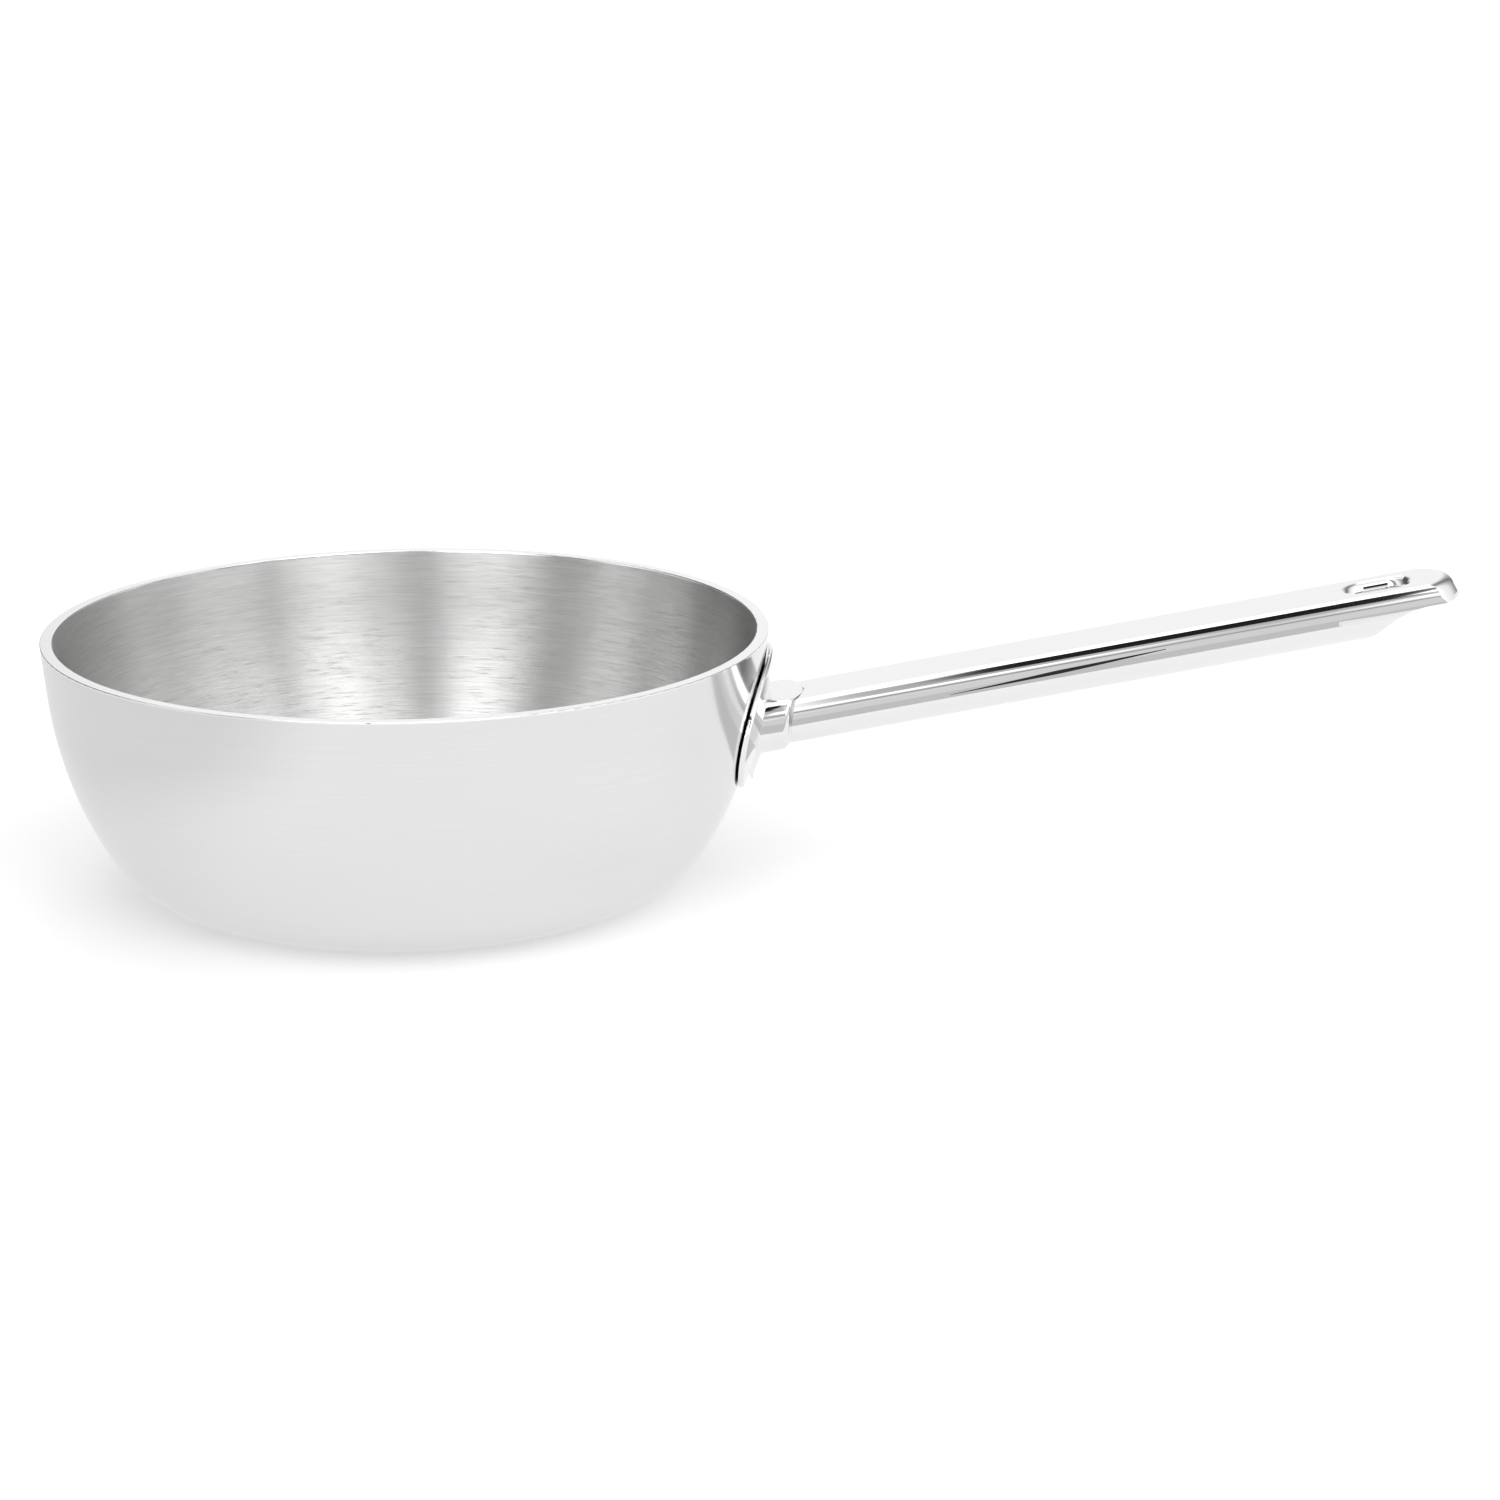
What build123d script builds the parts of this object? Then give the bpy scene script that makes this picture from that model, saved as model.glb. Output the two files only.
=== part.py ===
from build123d import *
from math import asin, cos, degrees, radians, sin, sqrt, tan
import os

# Saucier pan with a clad bowl and a hollow handle on a welded bracket.
# Lengths are in millimetres and angles in degrees.
# The origin is the centre of the base's underside. +Z is up and +X runs along the handle.

# Bowl
bowl_inner_diameter = 200.0
bowl_height = 75.0
wall_taper = 5.3
belly_radius = 112.0
belly_angle = 30.4
corner_radius = 28.5

# Layers of the clad sheet, from the cooking face outwards
inner_steel_thickness = 0.4
inner_alloy_thickness = 0.35
core_thickness = 1.6
outer_alloy_thickness = 0.35
outer_steel_thickness = 0.7

# Sealed rim
rim_seal_height = 0.6
rim_edge_radius = 0.25

# Handle section: a flat top with rounded edges, round sides and a flatter underside
handle_width = 24.0
handle_depth = 14.7
handle_edge_radius = 1.6
handle_edge_turn = 60.0
side_radius_share = 0.55
tube_wall = 1.2

# Handle placing: its flat top starts below the rim and rises towards the tip
handle_rise = 10.7
handle_drop = 20.35
handle_reach = 195.6

# Bracket on the bowl's wall
flange_width = 62.0
flange_height = 40.0
flange_drop = 26.0
flange_gap = 0.5
flange_thickness = 1.3
flange_edge_radius = 0.7
bell_spread = 8.0
bell_length = 4.0
neck_lip = 1.4
neck_length = 15.0
neck_edge_radius = 1.1

# Joint between the bracket's neck and the tube
seam_crown_radius = 20.0
seam_width = 0.6
seam_groove = 0.12
spigot_length = 14.0
spigot_clearance = 0.15

# Welds between the bracket's flange and the wall
weld_spot_diameter = 7.0
weld_spot_spacing_across = 26.0
weld_spot_spacing_up = 16.0

# Handle end with its hanging slot, thumb scoop and slanted nose
end_length = 37.0
tongue_length = 10.3
tongue_depth = 5.9
scoop_radius = 21.0
nose_radius = 15.5
nose_slope = 20.0
nose_crease_radius = 3.8
slot_length = 16.0
slot_width = 9.5
slot_to_tip = 22.6
slot_dish_radius = 3.0

overrun = 5.0

# Derived sizes of the bowl
wall_thickness = (
    inner_steel_thickness
    + inner_alloy_thickness
    + core_thickness
    + outer_alloy_thickness
    + outer_steel_thickness
)
taper_slope = tan(radians(wall_taper))
rim_radius = bowl_inner_diameter / 2 + wall_thickness / cos(radians(wall_taper))
corner_top_height = corner_radius * (1 - sin(radians(belly_angle)))
belly_centre_height = corner_top_height + belly_radius * sin(radians(belly_angle))
belly_top_height = belly_centre_height - belly_radius * sin(radians(wall_taper))
straight_height = bowl_height - belly_top_height
belly_centre_radius = rim_radius - straight_height * taper_slope - belly_radius * cos(radians(wall_taper))
base_radius = belly_centre_radius + (belly_radius - corner_radius) * cos(radians(belly_angle))
seal_foot_height = bowl_height - rim_seal_height

# Derived directions and places along the handle
handle_half_width = handle_width / 2
handle_along = Vector(cos(radians(handle_rise)), 0, sin(radians(handle_rise)))
handle_up = Vector(-sin(radians(handle_rise)), 0, cos(radians(handle_rise)))
handle_start = Vector(0, 0, bowl_height - handle_drop - rim_radius * tan(radians(handle_rise)))
tip_distance = (rim_radius + handle_reach) / cos(radians(handle_rise))
flange_centre_height = bowl_height - flange_drop
handle_side_radius = handle_depth * side_radius_share
side_centre_reach = handle_half_width - handle_side_radius
edge_step = handle_side_radius - handle_edge_radius
edge_centre_reach = side_centre_reach + edge_step * sin(radians(handle_edge_turn))
side_centre_height = -handle_edge_radius - edge_step * cos(radians(handle_edge_turn))
side_centre_depth = handle_depth + side_centre_height
underside_radius = (side_centre_reach**2 + side_centre_depth**2 - handle_side_radius**2) / (
    2 * (side_centre_depth - handle_side_radius)
)
side_turn = degrees(asin(side_centre_reach / (underside_radius - handle_side_radius)))

handle_top = Plane(origin=handle_start, x_dir=handle_along, z_dir=handle_up)
handle_side = Plane(origin=handle_start, x_dir=handle_along, z_dir=(0, -1, 0))


def belly_top(depth):
    """Where the belly's arc meets the tapered wall, on the surface this deep in the wall."""
    reach = belly_radius - depth
    return (
        belly_centre_radius + reach * cos(radians(wall_taper)),
        belly_centre_height - reach * sin(radians(wall_taper)),
    )


def wall_end(depth, height):
    """Point of the tapered wall at this height, on the surface this deep in the wall."""
    radius, foot = belly_top(depth)
    return (radius + (height - foot) * taper_slope, height)


def wall_radius(depth, height):
    """Radius of the belly at this height, on the surface this deep in the wall."""
    reach = belly_radius - depth
    return belly_centre_radius + sqrt(reach**2 - (belly_centre_height - height) ** 2)


def draw_wall(depth, height):
    """Draws the surface this deep in the wall, from the axis over the base up to a height."""
    Line((0, depth), (base_radius, depth))
    CenterArc((base_radius, corner_radius), corner_radius - depth, -90, 90 - belly_angle)
    CenterArc(
        (belly_centre_radius, belly_centre_height),
        belly_radius - depth,
        -belly_angle,
        belly_angle - wall_taper,
    )
    Line(belly_top(depth), wall_end(depth, height))


def bowl_layer(depth, thickness):
    """One layer of the clad bowl, given its outer surface's depth in the wall."""
    inside = depth + thickness
    with BuildPart() as layer:
        with BuildSketch(Plane.XZ):
            with BuildLine():
                draw_wall(depth, seal_foot_height)
                draw_wall(inside, seal_foot_height)
                Line((0, depth), (0, inside))
                Line(wall_end(depth, seal_foot_height), wall_end(inside, seal_foot_height))
            make_face()
        revolve(axis=Axis.Z)
    return layer


def handle_plane(distance):
    """Plane square to the handle, with its origin on the flat top's centre line."""
    return Plane(origin=handle_start + handle_along * distance, x_dir=(0, 1, 0), z_dir=handle_along)


def draw_handle_half(grow):
    """Draws one half of the handle's section, with every face moved outwards by grow."""
    side_centre = (side_centre_reach, side_centre_height)
    Line((0, grow), (edge_centre_reach, grow))
    CenterArc(
        (edge_centre_reach, -handle_edge_radius),
        handle_edge_radius + grow,
        90 - handle_edge_turn,
        handle_edge_turn,
    )
    CenterArc(side_centre, handle_side_radius + grow, side_turn - 90, 180 - side_turn - handle_edge_turn)
    CenterArc((0, underside_radius - handle_depth), underside_radius + grow, -90, side_turn)


def crown(radius):
    """Ball whose front is the rounded face at which the neck and the tube meet."""
    centre = handle_start + handle_along * (seam_distance - seam_crown_radius)
    with BuildPart(mode=Mode.PRIVATE) as ball:
        Sphere(radius)
    return ball.part.moved(Location(centre))


def wall_shell(inner_gap, outer_gap):
    """Skin around the bowl between two distances from its outer surface."""
    with BuildPart() as shell:
        with BuildSketch(Plane.XZ):
            with BuildLine():
                draw_wall(-inner_gap, bowl_height)
                draw_wall(-outer_gap, bowl_height)
                Line((0, -inner_gap), (0, -outer_gap))
                Line(wall_end(-inner_gap, bowl_height), wall_end(-outer_gap, bowl_height))
            make_face()
        revolve(axis=Axis.Z)
    return shell.part


def wall_cutter(gap):
    """Solid that fills the bowl out to a gap from its outer surface."""
    with BuildPart() as cutter:
        with BuildSketch(Plane.XZ):
            with BuildLine():
                draw_wall(-gap, bowl_height)
                Line((0, -gap), (0, bowl_height))
                Line((0, bowl_height), wall_end(-gap, bowl_height))
            make_face()
        revolve(axis=Axis.Z)
    return cutter.part


# Places along the handle that several pieces share
flange_foot_radius = wall_radius(0, flange_centre_height - flange_height / 2)
bell_start = flange_foot_radius / cos(radians(handle_rise))
bell_end = bell_start + bell_length
seam_distance = bell_end + neck_length
joint_distance = tip_distance - end_length
neck_top_height = (handle_start + handle_along * seam_distance).Z
nose_skirt = handle_depth + overrun
nose_crease_distance = tip_distance - tongue_depth * tan(radians(nose_slope))
nose_centre_distance = tip_distance - nose_radius
nose_axis = Axis(handle_start + handle_along * nose_centre_distance, handle_up)

os.makedirs("parts", exist_ok=True)

# Layers of the bowl
outer_alloy_depth = outer_steel_thickness
core_depth = outer_alloy_depth + outer_alloy_thickness
inner_alloy_depth = core_depth + core_thickness
inner_steel_depth = inner_alloy_depth + inner_alloy_thickness

outer_steel = bowl_layer(0, outer_steel_thickness)
outer_alloy = bowl_layer(outer_alloy_depth, outer_alloy_thickness)
aluminium_core = bowl_layer(core_depth, core_thickness)
inner_alloy = bowl_layer(inner_alloy_depth, inner_alloy_thickness)
inner_steel = bowl_layer(inner_steel_depth, inner_steel_thickness)

# Weld bead that closes the layers' edges, ground flat and polished
with BuildPart() as rim_seal:
    with BuildSketch(Plane.XZ):
        with BuildLine():
            Polyline(
                wall_end(0, seal_foot_height),
                wall_end(0, bowl_height),
                wall_end(wall_thickness, bowl_height),
                wall_end(wall_thickness, seal_foot_height),
                close=True,
            )
        make_face()
    revolve(axis=Axis.Z)
    fillet(rim_seal.faces().sort_by(Axis.Z)[-1].edges(), rim_edge_radius)

# Cast bracket: a flange that follows the wall, a bell, a neck and a spigot for the tube
with BuildPart() as flange:
    with BuildSketch(Plane.YZ):
        with Locations((0, flange_centre_height)):
            Ellipse(flange_width / 2, flange_height / 2)
    extrude(amount=rim_radius + bell_length)
    add(wall_shell(flange_gap, flange_gap + flange_thickness), mode=Mode.INTERSECT)
    fillet(flange.faces().sort_by(Axis.X)[-1].edges(), flange_edge_radius)

with BuildPart() as neck:
    with BuildSketch(handle_plane(bell_start)):
        with BuildLine():
            draw_handle_half(neck_lip)
            mirror(about=Plane.YZ)
        make_face()
    extrude(amount=bell_length + neck_length)
    add(crown(seam_crown_radius), mode=Mode.INTERSECT)
    fillet(neck.faces().filter_by(GeomType.SPHERE).edges(), neck_edge_radius)
    split(bisect_by=Plane.XY.offset(neck_top_height), keep=Keep.BOTTOM)

with BuildPart() as handle_bracket:
    for distance, grow in ((bell_start, bell_spread), (bell_end, neck_lip)):
        with BuildSketch(handle_plane(distance)):
            with BuildLine():
                draw_handle_half(grow)
                mirror(about=Plane.YZ)
            make_face()
    loft(ruled=True)
    add(flange.part)
    add(neck.part)
    with BuildSketch(handle_plane(bell_end)):
        with BuildLine():
            draw_handle_half(-tube_wall - spigot_clearance)
            mirror(about=Plane.YZ)
        make_face()
    extrude(amount=neck_length + spigot_length)
    add(wall_cutter(flange_gap), mode=Mode.SUBTRACT)

# Weld spots that carry the flange on the wall
with BuildPart() as bracket_weld_spots:
    with BuildSketch(Plane.YZ):
        with Locations((0, flange_centre_height)):
            with GridLocations(weld_spot_spacing_across, weld_spot_spacing_up, 2, 2):
                Circle(weld_spot_diameter / 2)
    extrude(amount=rim_radius + bell_length)
    add(wall_shell(0, flange_gap), mode=Mode.INTERSECT)

# Hollow tube with a flat top, coped to the neck's crowned face
with BuildPart() as handle_tube:
    with BuildSketch(handle_plane(bell_end)):
        with BuildLine():
            draw_handle_half(0)
            mirror(about=Plane.YZ)
        make_face()
        with BuildLine():
            draw_handle_half(-tube_wall)
            mirror(about=Plane.YZ)
        make_face(mode=Mode.SUBTRACT)
    extrude(amount=joint_distance - bell_end)
    add(crown(seam_crown_radius + seam_width), mode=Mode.SUBTRACT)

# Weld between the neck and the tube
with BuildPart() as neck_weld:
    with BuildSketch(handle_plane(bell_end)):
        with BuildLine():
            draw_handle_half(-seam_groove)
            mirror(about=Plane.YZ)
        make_face()
        with BuildLine():
            draw_handle_half(-tube_wall)
            mirror(about=Plane.YZ)
        make_face(mode=Mode.SUBTRACT)
    extrude(amount=neck_length + spigot_length)
    add(crown(seam_crown_radius + seam_width), mode=Mode.INTERSECT)
    add(crown(seam_crown_radius), mode=Mode.SUBTRACT)

# Weld between the tube and the handle's end, ground flush
with BuildPart() as end_weld:
    with BuildSketch(handle_plane(joint_distance)):
        with BuildLine():
            draw_handle_half(0)
            mirror(about=Plane.YZ)
        make_face()
        with BuildLine():
            draw_handle_half(-tube_wall)
            mirror(about=Plane.YZ)
        make_face(mode=Mode.SUBTRACT)
    extrude(amount=seam_width)

# Nose of the cast end: round in plan, slanted and with a rounded crease
with BuildPart() as nose:
    with BuildSketch(handle_side) as nose_profile:
        with BuildLine():
            Polyline(
                (nose_centre_distance, 0),
                (nose_crease_distance, 0),
                (nose_crease_distance + nose_skirt * tan(radians(nose_slope)), -nose_skirt),
                (nose_centre_distance, -nose_skirt),
                close=True,
            )
        make_face()
        fillet(nose_profile.vertices().group_by(Axis.Y)[-1].sort_by(Axis.X)[-1], nose_crease_radius)
    revolve(axis=nose_axis)
    with BuildSketch(handle_plane(nose_centre_distance - overrun)):
        with BuildLine():
            draw_handle_half(0)
            mirror(about=Plane.YZ)
        make_face()
    extrude(amount=nose_radius + 2 * overrun, mode=Mode.INTERSECT)

# Cast end with the hanging slot, the thumb scoop and a spigot for the tube
with BuildPart() as handle_end:
    with BuildSketch(handle_plane(joint_distance + seam_width)):
        with BuildLine():
            draw_handle_half(0)
            mirror(about=Plane.YZ)
        make_face()
    extrude(amount=end_length - seam_width - nose_radius)
    add(nose.part)
    with BuildSketch(handle_side):
        with Locations((tip_distance - tongue_length, -tongue_depth)):
            Rectangle(tongue_length + overrun, handle_depth, align=(Align.MIN, Align.MAX))
        with Locations((tip_distance - tongue_length, -tongue_depth - scoop_radius)):
            Circle(scoop_radius)
    extrude(amount=handle_half_width + overrun, both=True, mode=Mode.SUBTRACT)
    with BuildSketch(handle_top):
        with Locations((tip_distance - slot_to_tip, 0)):
            SlotOverall(slot_length, slot_width)
    extrude(amount=-handle_depth - overrun, mode=Mode.SUBTRACT)
    slot_edges = handle_end.edges(Select.LAST).group_by(Axis(handle_start, handle_up))
    fillet(slot_edges[-1], slot_dish_radius)
    with BuildSketch(handle_plane(joint_distance + seam_width)):
        with BuildLine():
            draw_handle_half(-tube_wall - spigot_clearance)
            mirror(about=Plane.YZ)
        make_face()
    extrude(amount=-seam_width - spigot_length)

pieces = {
    "outer_steel_layer": outer_steel,
    "outer_alloy_layer": outer_alloy,
    "aluminium_core": aluminium_core,
    "inner_alloy_layer": inner_alloy,
    "inner_steel_layer": inner_steel,
    "rim_seal": rim_seal,
    "handle_bracket": handle_bracket,
    "bracket_weld_spots": bracket_weld_spots,
    "neck_weld": neck_weld,
    "handle_tube": handle_tube,
    "end_weld": end_weld,
    "handle_end": handle_end,
}
for name, piece in pieces.items():
    piece.part.label = name
    export_step(piece.part, f"parts/{name}.step")
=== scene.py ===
"""Saucier pan: bowl, bracket and handle, with their finishes and the studio that they stand in."""

import math

import bmesh
import bpy
from bpy.props import FloatProperty, FloatVectorProperty, IntProperty, PointerProperty
from mathutils import Matrix, Vector


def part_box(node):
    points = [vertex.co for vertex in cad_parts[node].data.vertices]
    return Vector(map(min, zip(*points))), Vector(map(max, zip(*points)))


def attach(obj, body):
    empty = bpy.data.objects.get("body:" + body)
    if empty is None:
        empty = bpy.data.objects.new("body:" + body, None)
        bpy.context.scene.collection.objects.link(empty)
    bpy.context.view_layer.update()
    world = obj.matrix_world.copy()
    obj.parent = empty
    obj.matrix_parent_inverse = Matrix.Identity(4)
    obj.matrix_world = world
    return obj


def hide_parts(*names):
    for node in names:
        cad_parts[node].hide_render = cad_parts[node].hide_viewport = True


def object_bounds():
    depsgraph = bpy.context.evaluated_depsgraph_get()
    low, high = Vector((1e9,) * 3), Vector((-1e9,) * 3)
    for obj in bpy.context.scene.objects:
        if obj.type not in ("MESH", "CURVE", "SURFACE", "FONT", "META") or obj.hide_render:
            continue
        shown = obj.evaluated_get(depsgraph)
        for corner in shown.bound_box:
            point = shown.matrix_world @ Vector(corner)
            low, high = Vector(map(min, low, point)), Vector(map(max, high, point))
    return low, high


bl_info = {
    "name": "Saucier Pan",
    "version": (1, 0, 0),
    "blender": (4, 5, 0),
    "location": "3D View > Sidebar > Saucier Pan",
    "description": "Builds a clad saucier pan with its finishes, floor, light and camera",
    "category": "Object",
}

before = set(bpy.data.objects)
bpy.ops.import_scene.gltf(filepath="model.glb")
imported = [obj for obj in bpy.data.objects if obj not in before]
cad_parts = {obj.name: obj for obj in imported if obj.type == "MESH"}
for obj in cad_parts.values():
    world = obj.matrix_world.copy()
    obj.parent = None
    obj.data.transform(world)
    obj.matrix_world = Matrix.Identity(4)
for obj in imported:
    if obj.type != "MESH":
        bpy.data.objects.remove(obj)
cad_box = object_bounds()
rim_low, rim_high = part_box("rim_seal")

MERGE_DISTANCE = 1e-6  # metres
CREASE = math.radians(35)
FLAT = math.radians(0.2)
CORNER_STEPS = 14
BELLY_STEPS = 22
TUBE_EDGE_STEPS = 12
TUBE_SIDE_STEPS = 40
TUBE_UNDERSIDE_STEPS = 12


class BowlSizes(bpy.types.PropertyGroup):
    """Sizes of the bowl's spun skins."""

    rim_radius: FloatProperty(
        name="Rim Radius",
        description="Outer radius of the rim",
        default=rim_high.x,
        unit="LENGTH",
    )
    height: FloatProperty(
        name="Height",
        description="Height of the rim above the base",
        default=rim_high.z,
        unit="LENGTH",
    )
    seal_height: FloatProperty(
        name="Seal Height",
        description="Height of the polished weld that closes the rim",
        default=rim_high.z - rim_low.z,
        unit="LENGTH",
    )
    wall: FloatProperty(
        name="Wall",
        description="Thickness of the clad sheet",
        default=0.0034,
        unit="LENGTH",
    )
    outer_skin: FloatProperty(
        name="Outer Skin",
        description="Thickness of the outer steel",
        default=0.0007,
        unit="LENGTH",
    )
    inner_skin: FloatProperty(
        name="Inner Skin",
        description="Thickness of the inner steel",
        default=0.0004,
        unit="LENGTH",
    )
    taper: FloatProperty(
        name="Taper",
        description="Lean of the straight wall under the rim",
        default=math.radians(5.3),
        subtype="ANGLE",
    )
    belly_radius: FloatProperty(
        name="Belly Radius",
        description="Radius of the belly's curve",
        default=0.112,
        unit="LENGTH",
    )
    belly_angle: FloatProperty(
        name="Belly Angle",
        description="Lean of the wall where the belly meets the corner",
        default=math.radians(30.4),
        subtype="ANGLE",
    )
    corner_radius: FloatProperty(
        name="Corner Radius",
        description="Radius between the belly and the base",
        default=0.0285,
        unit="LENGTH",
    )
    steps_around: IntProperty(
        name="Steps Around",
        description="Number of faces around the bowl",
        default=192,
        min=24,
    )


class HandleSizes(bpy.types.PropertyGroup):
    """Sizes of the tube: a flat top with rounded edges, round sides and a flatter underside."""

    width: FloatProperty(
        name="Width",
        description="Width of the tube",
        default=0.024,
        unit="LENGTH",
    )
    depth: FloatProperty(
        name="Depth",
        description="Depth of the tube under its flat top",
        default=0.0147,
        unit="LENGTH",
    )
    edge_radius: FloatProperty(
        name="Edge Radius",
        description="Radius of the edges beside the flat top",
        default=0.0016,
        unit="LENGTH",
    )
    edge_turn: FloatProperty(
        name="Edge Turn",
        description="Angle through which each edge rounds",
        default=math.radians(60.0),
        subtype="ANGLE",
    )
    side_radius: FloatProperty(
        name="Side Radius",
        description="Radius of the round sides",
        default=0.008085,
        unit="LENGTH",
    )
    wall: FloatProperty(
        name="Wall",
        description="Thickness of the tube's steel",
        default=0.0012,
        unit="LENGTH",
    )
    rise: FloatProperty(
        name="Rise",
        description="Angle at which the handle climbs towards its tip",
        default=math.radians(10.7),
        subtype="ANGLE",
    )
    drop: FloatProperty(
        name="Drop",
        description="How far the flat top's line meets the rim's radius below the rim",
        default=0.02035,
        unit="LENGTH",
    )
    start: FloatProperty(
        name="Start",
        description="Distance along the handle from the pan's axis to the neck's rounded face",
        default=0.115137,
        unit="LENGTH",
    )
    end: FloatProperty(
        name="End",
        description="Distance along the handle from the pan's axis to the joint with the cast end",
        default=0.267306,
        unit="LENGTH",
    )
    crown: FloatProperty(
        name="Crown Radius",
        description="Radius of the neck's rounded face, around which the tube starts",
        default=0.020,
        unit="LENGTH",
    )
    seam: FloatProperty(
        name="Seam",
        description="Width of the weld between the neck and the tube",
        default=0.0006,
        unit="LENGTH",
    )


class PanFinish(bpy.types.PropertyGroup):
    """Colours of the pan's finishes."""

    satin_colour: FloatVectorProperty(
        name="Satin Steel",
        description="Colour of the satin outside",
        default=(0.80, 0.80, 0.805),
        subtype="COLOR",
        size=3,
    )
    inside_colour: FloatVectorProperty(
        name="Brushed Steel",
        description="Colour of the brushed cooking face",
        default=(0.74, 0.74, 0.735),
        subtype="COLOR",
        size=3,
    )
    polished_colour: FloatVectorProperty(
        name="Polished Steel",
        description="Colour of the polished handle and rim",
        default=(0.88, 0.88, 0.885),
        subtype="COLOR",
        size=3,
    )
    weld_colour: FloatVectorProperty(
        name="Weld",
        description="Colour of the dressed welds",
        default=(0.60, 0.60, 0.60),
        subtype="COLOR",
        size=3,
    )
    aluminium_colour: FloatVectorProperty(
        name="Aluminium",
        description="Colour of the bonded aluminium layers",
        default=(0.72, 0.73, 0.74),
        subtype="COLOR",
        size=3,
    )


class StudioSettings(bpy.types.PropertyGroup):
    """Camera and light of the studio."""

    elevation: FloatProperty(
        name="Camera Elevation",
        description="Height of the camera's view above the horizon",
        default=math.radians(15.9),
        subtype="ANGLE",
    )
    distance: FloatProperty(
        name="Camera Distance",
        description="Distance from the camera to its target",
        default=1.0,
        unit="LENGTH",
    )
    target: FloatVectorProperty(
        name="Camera Target",
        description="Point at the middle of the picture",
        default=(0.098, 0.0, 0.0383),
        subtype="TRANSLATION",
        size=3,
    )
    lens: FloatProperty(
        name="Lens",
        description="Focal length in millimetres on a 36 mm sensor",
        default=83.04,
    )
    floor_size: FloatProperty(
        name="Floor Size",
        description="Length of the floor's side",
        default=14.0,
        unit="LENGTH",
    )
    floor_gap: FloatProperty(
        name="Floor Gap",
        description="How far the floor lies below the base, so that the two don't share a plane",
        default=0.0003,
        unit="LENGTH",
    )


# Profile drawing


def line_to(bm, vert, radius, height):
    """Extrudes the profile's last vertex straight to a new place."""
    new = bmesh.ops.extrude_vert_indiv(bm, verts=[vert])["verts"][0]
    new.co = (radius, 0, height)
    return new


def arc_from(bm, vert, centre, angle, steps):
    """Spins the profile's last vertex about a centre; a positive angle climbs outwards."""
    spun = bmesh.ops.spin(
        bm, geom=[vert], cent=(centre[0], 0, centre[1]), axis=(0, -1, 0), angle=angle, steps=steps
    )
    return spun["geom_last"][0]


def wall_profile(bm, depth, top):
    """Draws the surface this deep in the wall, from the axis to a height; returns its two ends."""
    s = bpy.context.scene.bowl_sizes
    lean = math.sin(s.belly_angle)
    belly_height = s.corner_radius * (1 - lean) + s.belly_radius * lean
    straight_foot = belly_height - s.belly_radius * math.sin(s.taper)
    slope = math.tan(s.taper)
    belly_x = s.rim_radius - (s.height - straight_foot) * slope - s.belly_radius * math.cos(s.taper)
    corner_x = belly_x + (s.belly_radius - s.corner_radius) * math.cos(s.belly_angle)
    first = bm.verts.new((0, 0, depth))
    last = line_to(bm, first, corner_x, depth)
    last = arc_from(bm, last, (corner_x, s.corner_radius), math.pi / 2 - s.belly_angle, CORNER_STEPS)
    last = arc_from(bm, last, (belly_x, belly_height), s.belly_angle - s.taper, BELLY_STEPS)
    rise = top - last.co.z
    last = line_to(bm, last, last.co.x + rise * slope, top)
    return first, last


def spin_skin(name, outside, inside):
    """Closed skin of the bowl between two depths in its wall."""
    s = bpy.context.scene.bowl_sizes
    bm = bmesh.new()
    top = s.height - s.seal_height
    ends = [wall_profile(bm, depth, top)[1] for depth in (outside, inside)]
    bm.edges.new(ends)
    bmesh.ops.spin(
        bm,
        geom=bm.verts[:] + bm.edges[:],
        cent=(0, 0, 0),
        axis=(0, 0, 1),
        angle=math.tau,
        steps=s.steps_around,
        use_merge=True,
    )
    bmesh.ops.remove_doubles(bm, verts=bm.verts[:], dist=MERGE_DISTANCE)
    bmesh.ops.recalc_face_normals(bm, faces=bm.faces[:])
    return finish_mesh(name, bm)


def finish_mesh(name, bm):
    """Turns a bmesh into a piece with smooth faces and sharp creases."""
    mesh = bpy.data.meshes.new(name)
    bm.to_mesh(mesh)
    bm.free()
    piece = bpy.data.objects.new(name, mesh)
    bpy.context.scene.collection.objects.link(piece)
    mesh.shade_smooth()
    mesh.set_sharp_from_angle(angle=CREASE)
    return piece


def polished_copy(name, node):
    """Smooth copy of a CAD node, with its loose triangles joined and its flat faces whole."""
    bm = bmesh.new()
    bm.from_mesh(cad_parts[node].data)
    bmesh.ops.remove_doubles(bm, verts=bm.verts[:], dist=MERGE_DISTANCE)
    bmesh.ops.dissolve_limit(bm, angle_limit=FLAT, verts=bm.verts[:], edges=bm.edges[:])
    return even_normals(finish_mesh(name, bm))


def even_normals(piece):
    """Keeps the flat faces flat where they run into rounded ones."""
    weighted = piece.modifiers.new("Even Normals", "WEIGHTED_NORMAL")
    weighted.keep_sharp = True
    weighted.weight = 100
    return piece


def handle_matrix(s):
    """Turns a shape drawn across X, along Y and up Z into the handle's own direction."""
    along = Vector((math.cos(s.rise), 0, math.sin(s.rise)))
    up = Vector((-math.sin(s.rise), 0, math.cos(s.rise)))
    foot = rim_high.z - s.drop - rim_high.x * math.tan(s.rise)
    turn = Matrix(((0, along.x, up.x), (1, 0, 0), (0, along.z, up.z))).to_4x4()
    return Matrix.Translation((0, 0, foot)) @ turn


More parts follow.
